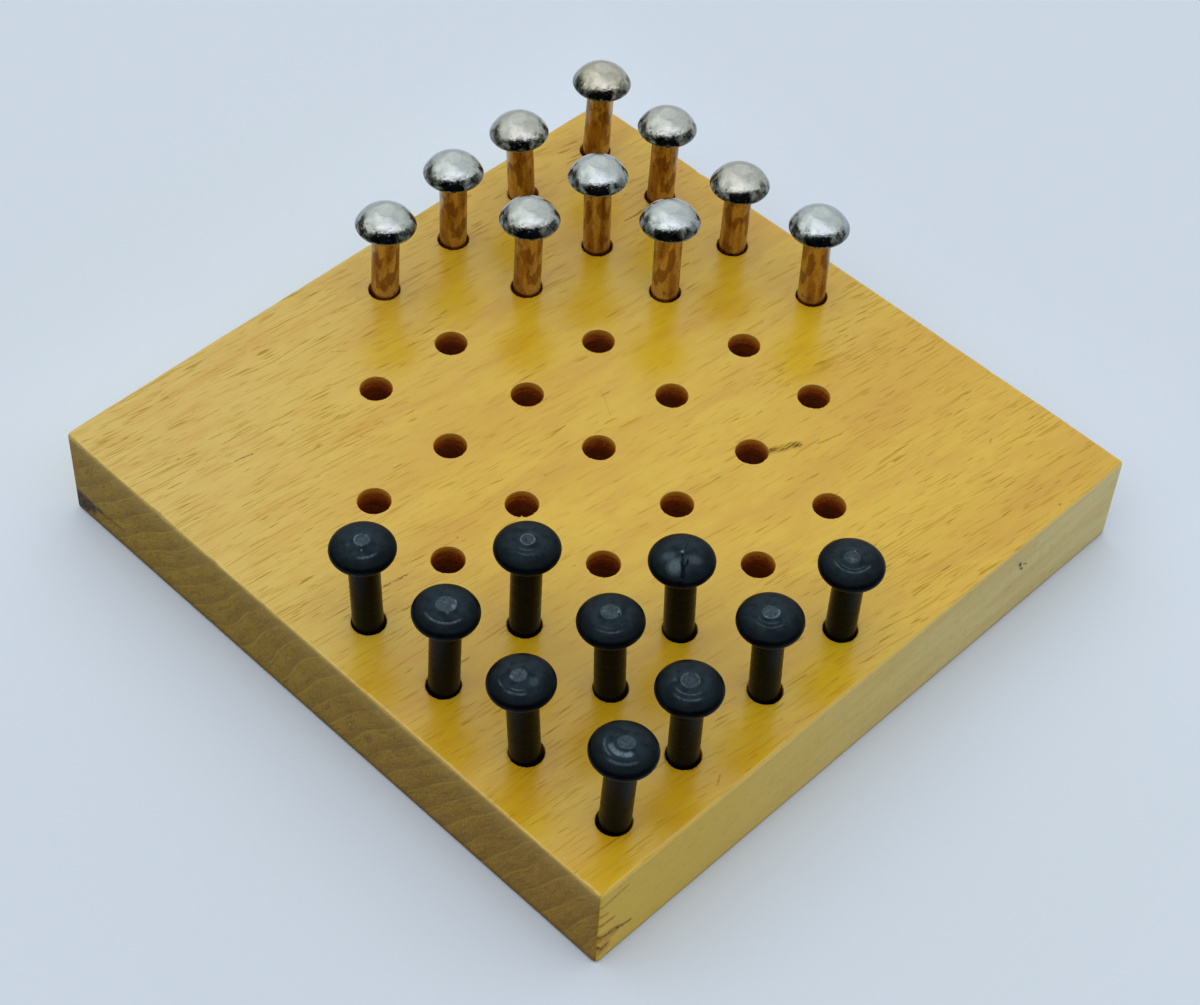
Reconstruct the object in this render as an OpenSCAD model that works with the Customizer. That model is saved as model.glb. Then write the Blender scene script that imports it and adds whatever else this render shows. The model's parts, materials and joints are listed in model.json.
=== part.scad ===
// Halma for two on a square wooden board: 37 blind holes and two sets of ten
// loose pegs, one silver and one black. Each peg is a turned rivet shape that
// stands in its hole with play and lifts straight out along its own axis.
// Millimetres, +Z up. The origin is the middle of the board's underside, +X
// runs along the grain, and the black pegs fill the corner at -X -Y.

/* [Board] */
// Side of the square board
board_side = 105; // [100:1:130]
// Thickness of the board
board_thick = 15.2; // [13:0.1:20]
// Width of the small flat along every edge of the board
edge_ease = 0.4; // [0.2:0.1:1.2]

/* [Holes] */
// Distance between neighbouring holes, along either side of the board
pitch = 14.8; // [13:0.1:15]
// Diameter of every hole
hole_d = 4.7; // [4.7:0.05:5.2]
// Common depth of the holes, blind and flat-bottomed
hole_depth = 8; // [7:0.5:10]
// How far the holes stray from a perfect grid, 1 as on the real board
stray = 1; // [0:0.25:1]

/* [Silver pegs] */
// Diameter of a silver peg's shank
silver_shank_d = 4.1; // [3.8:0.05:4.1]
// Length of a silver peg's shank under the head
silver_shank_len = 21; // [19:0.1:22]
// Diameter of a silver peg's head
silver_head_d = 8.8; // [8:0.1:9.4]

/* [Black pegs] */
// Diameter of a black peg's shank
black_shank_d = 4.2; // [3.8:0.05:4.2]
// Length of a black peg's shank under the head
black_shank_len = 21.1; // [19:0.1:22]
// Diameter of a black peg's head
black_head_d = 8.8; // [8:0.1:9.4]

/* [Play] */
// How far the pegs lean in their holes, 1 as on the real board
lean = 1; // [0:0.25:1]

/* [Hidden] */

// The field is a 7 by 7 grid of holes, of which those within three steps of
// the diagonal between the two camps are drilled: a hexagon of 37.
last = 6;
band = 3;

// Hand-drilled holes that miss the grid by more than the eye forgives:
// [column, row, shift along X, shift along Y].
strays = [
  [0, 0, 1.2, -1.2], [0, 1, 0.6, -1.0], [1, 0, 0.0, -0.2], [0, 2, 0.2, -0.8],
  [1, 1, 0.8, -1.2], [2, 0, 0.4, -0.4], [0, 3, 0.2, -1.2], [1, 2, 0.0, -0.8],
  [2, 1, -0.4, -0.6], [3, 0, 0.4, -0.4], [1, 3, 0.2, -0.6], [2, 2, 0.2, -0.6],
  [3, 1, 0.6, -0.2], [1, 4, 0.0, -0.8], [2, 3, -0.4, -0.2], [3, 2, 0.4, 0.0],
  [4, 1, 0.8, 0.2], [4, 2, 0.4, -0.4], [2, 4, -0.2, -0.4], [5, 2, 0.0, 0.8],
  [3, 4, -0.2, -0.6], [2, 5, -0.4, 0.0], [3, 5, -1.2, -0.6], [5, 3, 0.2, -0.2],
  [6, 6, -0.4, 0.2], [5, 6, -0.8, 0.6], [6, 5, -0.6, 0.8], [4, 6, -0.8, 0.4],
  [5, 5, -0.6, -0.4], [6, 4, -0.4, 0.6], [3, 6, -0.8, -0.6], [4, 5, 0.2, 0.4],
  [5, 4, -0.2, 0.6], [6, 3, 0.4, 0.0],
];

// Where each peg stands: [column, row, lean in degrees towards the board's
// right-hand corner, rise of its seat above the common depth].
silver = [
  [6, 6, 1.5, 0.2], [5, 6, -3, -1.2], [6, 5, 1, 0.4], [4, 6, 0, 0], [5, 5, -1.5, 0.4],
  [6, 4, 0.5, -1.0], [3, 6, 1.5, -0.4], [4, 5, 0.5, 0.2], [5, 4, -0.5, 0.6], [6, 3, -1, 0.4],
];
black = [
  [0, 0, 1.5, 0.4], [0, 1, -3, 0], [1, 0, -0.5, -0.6], [0, 2, 1, 0.6], [1, 1, -2, -0.6],
  [2, 0, -2, 0], [0, 3, -1.5, 0.4], [1, 2, 0, 1.2], [2, 1, -2, -0.4], [3, 0, 0, -1.2],
];

// Seat rises of the peg standing in a hole: one number, or none in an empty one.
function seats(c, r) = [for (p = concat(silver, black)) if (p[0] == c && p[1] == r) p[3]];

// The empty holes, counted column by column. Along that count each is drilled
// a hair less deep than the one before.
empties = [for (c = [0:last], r = [0:last]) if (abs(c - r) <= band && len(seats(c, r)) == 0) [c, r]];
function count(c, r) = [for (k = [0:len(empties) - 1]) if (empties[k] == [c, r]) k][0];
function depth(c, r) =
  let (s = seats(c, r))
  len(s) > 0 ? hole_depth - s[0] : hole_depth + 0.4 - 0.05 * count(c, r);

// Centre of a hole in the XY plane.
function hole_at(c, r) =
  let (s = [for (p = strays) if (p[0] == c && p[1] == r) [p[2], p[3]]])
  [(c - last / 2) * pitch, (r - last / 2) * pitch] + (len(s) > 0 ? stray * s[0] : [0, 0]);

// Outline of a rectangle with its corners cut at 45 degrees.
function eased(w, h, e) = [
  [-w / 2 + e, -h / 2], [w / 2 - e, -h / 2], [w / 2, -h / 2 + e], [w / 2, h / 2 - e],
  [w / 2 - e, h / 2], [-w / 2 + e, h / 2], [-w / 2, h / 2 - e], [-w / 2, -h / 2 + e],
];

// Points on a quarter of an ellipse round [r0, z0], from angle a0 to a1.
function arc(r0, z0, rr, rz, a0, a1, n) =
  [for (k = [0:n]) let (a = a0 + (a1 - a0) * k / n) [r0 + rr * cos(a), z0 + rz * sin(a)]];

module slab() {
  intersection() {
    translate([0, 0, 0])
      linear_extrude(height = board_thick) polygon(eased(board_side, board_side, edge_ease));
    translate([0, board_side / 2 + 1, board_thick / 2]) rotate([90, 0, 0])
      linear_extrude(height = board_side + 2) polygon(eased(board_side, board_thick, edge_ease));
    translate([-board_side / 2 - 1, 0, board_thick / 2]) rotate([90, 0, 90])
      linear_extrude(height = board_side + 2) polygon(eased(board_side, board_thick, edge_ease));
  }
}

// What the drill takes out, its mouth's centre at the origin: a cylinder that
// is d deep.
module hole(d) {
  translate([0, 0, -d]) cylinder(d = hole_d, h = d + 1, $fn = 48);
}

module board() {
  color([0.80, 0.62, 0.27])
  difference() {
    slab();
    for (c = [0:last], r = [0:last])
      if (abs(c - r) <= band)
        translate([hole_at(c, r)[0], hole_at(c, r)[1], board_thick]) hole(depth(c, r));
  }
}

// A silver peg, its shank's end at the origin: a ball-shaped head over a thin
// rounded rim, with a small flat on top and a flat bearing face.
module silver_shape() {
  r = silver_head_d / 2;
  s = silver_shank_d / 2;
  z = silver_shank_len;
  rim = 0.25;
  rise = 3;
  ball = (r * r + rise * rise) / (2 * rise);
  mid = z + rim + rise - ball;
  low = asin((ball - rise) / ball);
  rotate_extrude($fn = 48) polygon(concat(
    [[0, 0], [s - 0.4, 0], [s, 0.5], [s, z]],
    arc(r - rim, z + rim, rim, rim, -90, 0, 3),
    [for (p = arc(0, mid, ball, ball, low + 5, 74, 9)) p],
    [[0, mid + ball * sin(74)]]
  ));
}

// A black peg, its shank's end at the origin: a lower head with a rounded
// underside and a small raised disc in the middle of its top.
module black_shape() {
  r = black_head_d / 2;
  s = black_shank_d / 2;
  z = black_shank_len;
  rotate_extrude($fn = 48) polygon(concat(
    [[0, 0], [s - 0.3, 0], [s, 0.4], [s, z]],
    arc(r - 1.5, z + 1.2, 1.5, 1.2, -90, 0, 6),
    [for (p = arc(0, z + 1.2, r, 1.75, 8, 48, 6)) p],
    [[r * 0.55, z + 2.66], [r * 0.42, z + 2.74], [r * 0.36, z + 2.79], [r * 0.28, z + 2.95],
     [r * 0.22, z + 2.98], [0, z + 2.98]]
  ));
}

// Stands a peg in its hole: it leans about the middle of the hole's depth,
// and its end clears the hole's floor by a hair.
module stand(p, s) {
  h = hole_depth - p[3];
  a = lean * p[2];
  lift = s * sin(abs(a)) + 0.03;
  q = hole_at(p[0], p[1]);
  translate([q[0], q[1], board_thick - h / 2]) rotate([0, 0, -45]) rotate([0, a, 0])
    translate([0, 0, -h / 2 + lift]) children();
}

module silver_peg(n) {
  color([0.78, 0.79, 0.80]) stand(silver[n - 1], silver_shank_d / 2) silver_shape();
}

module black_peg(n) {
  color([0.13, 0.15, 0.17]) stand(black[n - 1], black_shank_d / 2) black_shape();
}

board();
silver_peg(1);  // silver_peg_01
silver_peg(2);  // silver_peg_02
silver_peg(3);  // silver_peg_03
silver_peg(4);  // silver_peg_04
silver_peg(5);  // silver_peg_05
silver_peg(6);  // silver_peg_06
silver_peg(7);  // silver_peg_07
silver_peg(8);  // silver_peg_08
silver_peg(9);  // silver_peg_09
silver_peg(10);  // silver_peg_10
black_peg(1);  // black_peg_01
black_peg(2);  // black_peg_02
black_peg(3);  // black_peg_03
black_peg(4);  // black_peg_04
black_peg(5);  // black_peg_05
black_peg(6);  // black_peg_06
black_peg(7);  // black_peg_07
black_peg(8);  // black_peg_08
black_peg(9);  // black_peg_09
black_peg(10);  // black_peg_10
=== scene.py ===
import json
import math
import random

import bmesh
import bpy
from mathutils import Matrix, Vector, noise


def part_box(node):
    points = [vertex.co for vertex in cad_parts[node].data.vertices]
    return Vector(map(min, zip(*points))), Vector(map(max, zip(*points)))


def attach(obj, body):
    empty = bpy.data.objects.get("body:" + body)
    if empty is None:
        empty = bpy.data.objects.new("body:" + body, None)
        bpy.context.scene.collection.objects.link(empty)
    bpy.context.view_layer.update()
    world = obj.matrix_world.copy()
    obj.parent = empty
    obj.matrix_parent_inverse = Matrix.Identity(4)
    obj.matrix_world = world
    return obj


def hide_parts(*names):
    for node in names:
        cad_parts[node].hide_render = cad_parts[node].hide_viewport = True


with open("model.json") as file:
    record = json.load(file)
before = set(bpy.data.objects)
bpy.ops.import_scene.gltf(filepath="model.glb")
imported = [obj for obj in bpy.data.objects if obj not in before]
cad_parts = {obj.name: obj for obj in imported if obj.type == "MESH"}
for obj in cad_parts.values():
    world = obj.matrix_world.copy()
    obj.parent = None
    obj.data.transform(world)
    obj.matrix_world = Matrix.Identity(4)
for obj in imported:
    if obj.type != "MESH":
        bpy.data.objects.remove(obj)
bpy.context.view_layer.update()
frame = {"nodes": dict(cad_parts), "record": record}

scene = bpy.context.scene
record = frame["record"]
MM = 0.001

# ---------------------------------------------------------------- dimensions
HALF = 52.5      # half the board's side, mm
TOP = 15.2       # the board's thickness
PITCH = 14.8     # distance between neighbouring holes
CELL = 3.5 * PITCH   # half of the square that the 7 by 7 cells cover
HOLE_R = 2.35
SILVER = {"len": 21.0, "r": 4.44, "s": 2.05, "end": 0.4}
BLACK = {"len": 21.1, "r": 4.42, "s": 2.10, "end": 0.3}


def smooth(a, b, x):
    if a == b:
        return 1.0 if x >= a else 0.0
    t = min(max((x - a) / (b - a), 0.0), 1.0)
    return t * t * (3 - 2 * t)


def n3(x, y, z, seed=0.0):
    return noise.noise(Vector((x + 17.3 * seed, y - 9.1 * seed, z + 5.7 * seed)))


# ---------------------------------------------------------------- camera
AZ, EL, ROLL = math.radians(-48.014), math.radians(48.734), math.radians(3.772)
back = Vector((math.sin(AZ) * math.cos(EL), -math.cos(AZ) * math.cos(EL), math.sin(EL)))
right = Vector((math.cos(AZ), math.sin(AZ), 0.0))
up = back.cross(right)
right2 = math.cos(ROLL) * right + math.sin(ROLL) * up
up2 = -math.sin(ROLL) * right + math.cos(ROLL) * up
eye = (Vector((-0.0685, -0.0701, 0.0)) + back * 3.4516) * 0.105 + Vector((0, 0, 0.0152))
cam_data = bpy.data.cameras.new("camera")
cam_data.sensor_fit = "HORIZONTAL"
cam_data.sensor_width = 36.0
cam_data.lens = 79.08
cam_data.clip_start = 0.01
cam_data.clip_end = 50.0
cam = bpy.data.objects.new("camera", cam_data)
scene.collection.objects.link(cam)
cam.matrix_world = Matrix((
    (right2.x, up2.x, back.x, eye.x),
    (right2.y, up2.y, back.y, eye.y),
    (right2.z, up2.z, back.z, eye.z),
    (0, 0, 0, 1),
))
scene.camera = cam
scene.view_settings.view_transform = "Standard"

FRONT = Vector((back.x, back.y, 0)).normalized()       # the side of the board that the photograph was taken from
SIDE = Vector((-FRONT.y, FRONT.x, 0))


# ---------------------------------------------------------------- node helpers
class Mat:
    """A material, or a world, with short ways to add and link its nodes."""

    def __init__(self, owner):
        owner.use_nodes = True
        self.owner = owner
        self.t = owner.node_tree
        self.t.nodes.clear()

    def put(self, socket, value):
        if isinstance(value, bpy.types.NodeSocket):
            self.t.links.new(value, socket)
        elif value is not None:
            if hasattr(socket.default_value, "__len__") and not hasattr(value, "__len__"):
                value = [value] * len(socket.default_value)
            socket.default_value = value

    def add(self, kind, props=None, ins=None):
        nd = self.t.nodes.new(kind)
        for k, v in (props or {}).items():
            setattr(nd, k, v)
        for k, v in (ins or {}).items():
            self.put(nd.inputs[k], v)
        return nd

    def math(self, op, a, b=None, c=None, clamp=False):
        nd = self.add("ShaderNodeMath", {"operation": op, "use_clamp": clamp}, {0: a})
        if b is not None:
            self.put(nd.inputs[1], b)
        if c is not None:
            self.put(nd.inputs[2], c)
        return nd.outputs[0]

    def sum(self, *terms):
        """Sum of (value, weight) pairs."""
        total = None
        for v, k in terms:
            t = self.math("MULTIPLY", v, k)
            total = t if total is None else self.math("ADD", total, t)
        return total

    def vmath(self, op, a, b=None, scale=None):
        nd = self.add("ShaderNodeVectorMath", {"operation": op}, {0: a})
        if b is not None:
            self.put(nd.inputs[1], b)
        if scale is not None:
            self.put(nd.inputs["Scale"], scale)
        return nd.outputs["Value"] if op in ("LENGTH", "DOT_PRODUCT", "DISTANCE") else nd.outputs[0]

    def sep(self, v):
        nd = self.add("ShaderNodeSeparateXYZ", None, {0: v})
        return nd.outputs[0], nd.outputs[1], nd.outputs[2]

    def comb(self, x, y, z):
        return self.add("ShaderNodeCombineXYZ", None, {0: x, 1: y, 2: z}).outputs[0]

    def noise(self, vec, scale, detail=2.0, rough=0.5, dist=0.0):
        nd = self.add("ShaderNodeTexNoise", {"noise_dimensions": "3D"},
                      {"Vector": vec, "Scale": scale, "Detail": detail, "Roughness": rough, "Distortion": dist})
        return nd.outputs[0]

    def voronoi(self, vec, scale, feature="F1", rand=1.0, out="Distance"):
        nd = self.add("ShaderNodeTexVoronoi", {"feature": feature},
                      {"Vector": vec, "Scale": scale, "Randomness": rand})
        return nd.outputs[out]

    def remap(self, v, a, b, c=0.0, d=1.0, kind="SMOOTHSTEP"):
        nd = self.add("ShaderNodeMapRange", {"interpolation_type": kind, "clamp": True},
                      {0: v, 1: a, 2: b, 3: c, 4: d})
        return nd.outputs[0]

    def mix(self, f, a, b, blend="MIX"):
        nd = self.add("ShaderNodeMix", {"data_type": "RGBA", "blend_type": blend})
        self.put(nd.inputs[0], f)
        self.put(nd.inputs[6], a)
        self.put(nd.inputs[7], b)
        return nd.outputs[2]

    def lerp(self, f, a, b):
        nd = self.add("ShaderNodeMix", {"data_type": "FLOAT"})
        self.put(nd.inputs[0], f)
        self.put(nd.inputs[2], a)
        self.put(nd.inputs[3], b)
        return nd.outputs[0]

    def attr(self, name, out="Fac"):
        return self.add("ShaderNodeAttribute", {"attribute_type": "GEOMETRY", "attribute_name": name}).outputs[out]

    def bump(self, height, strength, distance, normal=None):
        nd = self.add("ShaderNodeBump", None, {"Strength": strength, "Distance": distance, "Height": height})
        if normal is not None:
            self.put(nd.inputs["Normal"], normal)
        return nd.outputs[0]

    def surface(self, ins):
        bs = self.add("ShaderNodeBsdfPrincipled", None, ins)
        out = self.add("ShaderNodeOutputMaterial")
        self.t.links.new(bs.outputs[0], out.inputs[0])
        return bs


def rgb(r, g, b):
    return (r, g, b, 1.0)


# ---------------------------------------------------------------- wood
# Small marks of use, in mm: (plane, a0, b0, a1, b1, half width, strength, kind).
# Plane "t" is the top in X, Y, plane "l" the long-grain side in X, Z, and plane
# "e" the end-grain side in Y, Z.
MARKS = [
    ("t", -38.7, 32.5, -36.0, 31.9, 0.16, 0.85, "brown"),
    ("t", -29.2, 31.6, -28.9, 31.5, 0.16, 0.60, "brown"),
    ("t", -23.1, 24.1, -22.9, 24.0, 0.15, 0.60, "brown"),
    ("t", -44.3, 38.1, -44.1, 38.1, 0.16, 0.80, "brown"),
    ("t", -9.3, 1.4, -9.0, 1.4, 0.17, 0.70, "brown"),
    ("t", -25.9, 1.4, -25.7, 1.4, 0.15, 0.60, "brown"),
    ("t", -17.9, -12.9, -17.6, -13.0, 0.15, 0.60, "brown"),
    ("t", 7.9, 7.2, 5.6, 3.2, 0.06, 0.45, "brown"),
    ("t", -29.9, -50.8, -28.5, -50.0, 0.20, 0.55, "brown"),
    ("t", 17.2, -16.9, 21.0, -18.7, 0.66, 0.85, "torn"),
    ("t", 23.2, -20.6, 27.2, -21.6, 0.20, 0.55, "brown"),
    ("t", -38.9, 1.8, -35.0, 1.2, 0.10, 0.95, "black"),
    ("t", 36.0, 30.1, 38.9, 29.8, 0.26, 0.65, "brown"),
    ("t", -15.2, 39.5, -13.4, 38.0, 0.07, 0.55, "brown"),
    ("t", 39.1, -51.2, 39.4, -51.2, 0.20, 0.70, "brown"),
    ("t", 41.2, -37.2, 41.9, -36.7, 0.12, 0.45, "brown"),
    ("t", -23.2, 16.9, -22.8, 17.0, 0.13, 0.50, "pale"),
    ("t", -16.6, -49.6, -16.3, -49.6, 0.14, 0.60, "brown"),
    ("l", -52.4, 5.2, -49.6, 4.6, 1.50, 0.60, "rust"),
    ("l", -52.4, 5.5, -46.6, 3.9, 0.44, 1.00, "brown"),
    ("l", -52.3, 3.4, -51.6, 2.6, 0.40, 1.00, "black"),
    ("l", -51.6, 2.6, -50.6, 2.9, 0.34, 0.90, "black"),
    ("l", -52.4, 8.4, -49.8, 8.0, 0.50, 0.80, "rust"),
    ("l", -52.4, 12.4, -47.6, 12.9, 0.42, 0.50, "brown"),
    ("l", -52.4, 2.4, -51.0, 2.7, 1.60, 0.55, "rust"),
    ("l", -52.4, 10.4, -51.0, 10.2, 0.45, 0.70, "rust"),
    ("l", 29.9, 11.2, 30.2, 10.5, 0.42, 1.00, "black"),
    ("l", 30.4, 9.8, 30.8, 9.4, 0.34, 1.00, "black"),
    ("l", 30.9, 10.4, 31.8, 9.6, 0.24, 0.80, "brown"),
    ("l", 12.0, 1.9, 13.4, 1.5, 0.16, 0.30, "brown"),
    ("e", 52.4, 2.9, 49.0, 2.6, 1.90, 1.00, "black"),
    ("e", 52.4, 1.2, 50.2, 1.5, 1.20, 1.00, "black"),
    ("e", 49.6, 3.0, 46.4, 3.5, 0.70, 0.70, "black"),
    ("e", 47.0, 3.3, 41.5, 3.7, 0.50, 0.45, "black"),
    ("e", 51.3, 10.4, 50.9, 8.2, 0.55, 0.60, "rust"),
]
INKS = {"brown": (0.190, 0.105, 0.010), "black": (0.020, 0.012, 0.006), "rust": (0.400, 0.130, 0.008),
        "pale": (0.78, 0.66, 0.36)}


def wood_colour(m, part):
    """Colour, roughness, bump and lost shine of the board's wood. part is top or end."""
    obj = m.add("ShaderNodeTexCoord").outputs["Object"]
    p = m.vmath("SCALE", obj, scale=1000.0)          # millimetres
    x, y, z = m.sep(p)
    # the fibres run a little aslant of the board's side and wander slowly
    wander = m.noise(m.comb(m.math("MULTIPLY", x, 0.017), m.math("MULTIPLY", y, 0.045), m.math("MULTIPLY", z, 0.045)), 1.0, 2.0)
    wander = m.math("MULTIPLY", m.math("SUBTRACT", wander, 0.5), 5.0)
    yw = m.math("ADD", m.math("ADD", y, m.math("MULTIPLY", x, 0.105)), wander)
    zw = m.math("ADD", z, m.math("MULTIPLY", wander, 0.5))

    def grain(lx, ly, lz, detail=2.0, rough=0.5, shift=0.0):
        v = m.comb(m.math("ADD", m.math("DIVIDE", x, lx), shift), m.math("DIVIDE", yw, ly), m.math("DIVIDE", zw, lz))
        return m.noise(v, 1.0, detail, rough)

    # growth rings round a pith far above and to the right of the board
    ry = m.math("SUBTRACT", yw, 160.0)
    rz = m.math("SUBTRACT", zw, 136.0)
    rad = m.vmath("LENGTH", m.comb(0.0, ry, rz))
    rad = m.math("ADD", rad, m.math("MULTIPLY", grain(60, 16, 16, shift=3.1), 0.9))
    ring = m.math("FRACT", m.math("DIVIDE", rad, 3.0))
    late = m.math("MULTIPLY", m.remap(ring, 0.45, 0.93), m.remap(ring, 1.0, 0.93))

    nrm = m.add("ShaderNodeNewGeometry").outputs["Normal"]
    tn = m.add("ShaderNodeVectorTransform", {"vector_type": "NORMAL", "convert_from": "WORLD", "convert_to": "OBJECT"},
               {0: nrm}).outputs[0]
    nx, ny, nz = m.sep(tn)
    endg = m.remap(m.math("ABSOLUTE", nx), 0.55, 0.85)
    side = m.remap(m.math("ABSOLUTE", ny), 0.55, 0.85)

    fibre = grain(4.5, 0.15, 0.15, detail=2.0, rough=0.6, shift=5.0)
    dash = grain(5.2, 0.27, 0.27, detail=1.0, rough=0.45, shift=11.0)
    streak = grain(16, 0.95, 0.95, detail=3.0, rough=0.6, shift=2.0)
    if part == "top":
        broad = grain(60, 11, 11, detail=2.0, shift=1.0)
        figure = grain(20, 4.2, 4.2, detail=3.0, rough=0.55, shift=7.0)
        dash2 = grain(3.4, 0.30, 0.30, detail=0.0, shift=23.0)
        long = grain(20, 0.30, 0.30, detail=1.0, rough=0.4, shift=37.0)
        patch = grain(13, 6, 6, detail=1.0, shift=31.0)
        # busier towards the left and right corners than in the middle
        busy = m.vmath("LENGTH", m.comb(m.sum((x, 0.7), (y, -0.7), (1.0, -6.0)), m.sum((x, 0.34), (y, 0.34)), 0.0))
        busy = m.remap(busy, 16.0, 46.0)
        busy = m.math("ADD", m.math("MULTIPLY", busy, 0.040), m.math("MULTIPLY", m.math("SUBTRACT", patch, 0.5), 0.16))

        light = rgb(0.690, 0.428, 0.010)
        gold = rgb(0.640, 0.362, 0.001)
        amber = rgb(0.575, 0.265, 0.0005)
        c = m.mix(m.remap(broad, 0.34, 0.66), light, gold)
        # painted sheen: the varnish's sheen towards the left corner, painted in as a paler, greyer colour
        painted_sheen_left = m.remap(m.sum((x, -0.7), (y, 0.7)), 12.0, 62.0, 0.0, 0.75)
        c = m.mix(painted_sheen_left, c, rgb(0.637, 0.457, 0.098))
        c = m.mix(m.math("MULTIPLY", m.remap(figure, 0.50, 0.74), 0.42), c, amber)
        cloud = grain(5.0, 2.4, 2.4, detail=2.0, rough=0.5, shift=53.0)
        c = m.mix(m.math("MULTIPLY", m.remap(cloud, 0.46, 0.66), 0.22), c, amber)
        c = m.mix(m.math("MULTIPLY", m.remap(streak, 0.50, 0.74), 0.26), c, amber)
        c = m.mix(m.math("MULTIPLY", m.remap(fibre, 0.50, 0.74), 0.24), c, amber)
        c = m.mix(m.math("MULTIPLY", late, 0.10), c, amber)
        lines = m.remap(m.math("ADD", dash, busy), 0.640, 0.695, 0.0, 0.44)
        c = m.mix(lines, c, rgb(0.405, 0.220, 0.022))
        c = m.mix(m.remap(m.math("ADD", long, m.math("MULTIPLY", busy, 0.5)), 0.650, 0.74, 0.0, 0.28), c, rgb(0.450, 0.225, 0.0))
        short = m.remap(m.math("ADD", dash2, busy), 0.760, 0.830, 0.0, 0.60)
        c = m.mix(short, c, rgb(0.300, 0.160, 0.014))
        # the long-grain sides are painted greener and greyer than the top: the grey is a painted sheen in place of
        # their gloss
        sc = m.mix(m.remap(grain(26, 2.4, 2.4, detail=3.0, shift=41.0), 0.35, 0.68), rgb(0.762, 0.620, 0.265), rgb(0.702, 0.540, 0.205))
        # painted sheen fades towards the left end of the long side, which is painted more orange there
        sc = m.mix(m.remap(x, -52.0, 40.0, 0.95, 0.0), sc, rgb(0.730, 0.492, 0.062))
        sc = m.mix(m.math("MULTIPLY", lines, 0.22), sc, rgb(0.26, 0.15, 0.03))
        sc = m.mix(m.remap(m.noise(p, 0.9, 3.0, 0.6), 0.52, 0.72, 0.0, 0.16), sc, rgb(0.30, 0.20, 0.05))
        # painted shade: darker towards the bottom of the long sides, where they meet the floor
        sc = m.mix(m.remap(z, 0.9, 0.2, 0.0, 0.55), sc, rgb(0.30, 0.19, 0.03))
        c = m.mix(side, c, sc)
    else:
        lines = m.remap(dash, 0.66, 0.74, 0.0, 0.6)
        c = rgb(0.42, 0.245, 0.036)

    # across the fibres the wood is darker and olive brown, with strokes of
    # pores and pale parenchyma along the rings
    turn = m.math("MULTIPLY", m.math("ARCTAN2", rz, ry), 200.0)
    fine = m.noise(p, 2.0, 4.0, 0.7)
    blot = m.noise(p, 0.20, 3.0, 0.6)
    xs = m.math("DIVIDE", x, 6.0)
    s1 = m.noise(m.comb(m.math("DIVIDE", rad, 0.40), m.math("DIVIDE", turn, 2.6), xs), 1.0, 2.0, 0.6)
    s2 = m.noise(m.comb(m.math("DIVIDE", rad, 0.34), m.math("ADD", m.math("DIVIDE", turn, 2.0), 40.0), xs), 1.0, 2.0, 0.6)
    s3 = m.noise(m.comb(m.math("DIVIDE", rad, 1.3), m.math("ADD", m.math("DIVIDE", turn, 9.0), 80.0), xs), 1.0, 2.0, 0.6)
    pores = m.voronoi(m.comb(xs, m.math("DIVIDE", y, 0.46), m.math("DIVIDE", z, 0.46)), 1.0)
    ec = m.mix(m.remap(blot, 0.35, 0.65), rgb(0.290, 0.165, 0.008), rgb(0.350, 0.208, 0.012))
    ec = m.mix(m.remap(y, 18.0, -45.0, 0.0, 0.75), ec, rgb(0.310, 0.150, 0.010))
    ec = m.mix(m.remap(s3, 0.40, 0.68, 0.0, 0.55), ec, rgb(0.215, 0.115, 0.008))
    ec = m.mix(m.remap(fine, 0.46, 0.66, 0.0, 0.50), ec, rgb(0.46, 0.300, 0.026))
    ec = m.mix(m.remap(s1, 0.52, 0.68, 0.0, 0.42), ec, rgb(0.115, 0.056, 0.005))
    ec = m.mix(m.remap(s2, 0.56, 0.72, 0.0, 0.26), ec, rgb(0.56, 0.40, 0.050))
    ec = m.mix(m.math("MULTIPLY", m.remap(ring, 0.35, 0.95), 0.40), ec, rgb(0.190, 0.100, 0.006))
    ec = m.mix(m.remap(pores, 0.24, 0.10, 0.0, 0.50), ec, rgb(0.050, 0.026, 0.003))
    pale = m.remap(m.math("ABSOLUTE", m.math("SUBTRACT", ring, 0.5)), 0.430, 0.48, 0.0, 0.30)
    pale = m.math("MULTIPLY", pale, m.remap(s3, 0.64, 0.40, 0.45, 1.0))
    ec = m.mix(pale, ec, rgb(0.54, 0.37, 0.045))
    # painted sheen: paler towards the top of the end grain
    ec = m.mix(m.remap(z, 10.5, 14.6, 0.0, 0.30), ec, rgb(0.48, 0.33, 0.08))
    # painted shade: darker along the bottom, by the floor
    ec = m.mix(m.remap(z, 1.6, 0.3, 0.0, 0.65), ec, rgb(0.130, 0.070, 0.008))
    c = m.mix(endg, c, ec) if part == "top" else ec

    # edges rubbed paler
    c = m.mix(m.math("MULTIPLY", m.attr("worn"), 0.28), c, rgb(0.80, 0.54, 0.06))

    # marks of use
    jag = m.add("ShaderNodeTexNoise", {"noise_dimensions": "3D"}, {"Vector": p, "Scale": 2.2, "Detail": 3.0, "Roughness": 0.65}).outputs["Color"]
    jag = m.vmath("SCALE", m.vmath("SUBTRACT", jag, (0.5, 0.5, 0.5)), scale=1.0)
    q = m.vmath("ADD", p, m.vmath("SCALE", jag, scale=0.55))
    break_up = m.remap(fine, 0.30, 0.56, 0.25, 1.0)
    on = {"t": m.remap(nz, 0.5, 0.8), "l": m.remap(ny, -0.5, -0.8), "e": m.remap(nx, -0.5, -0.8)}
    dent = None
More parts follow.
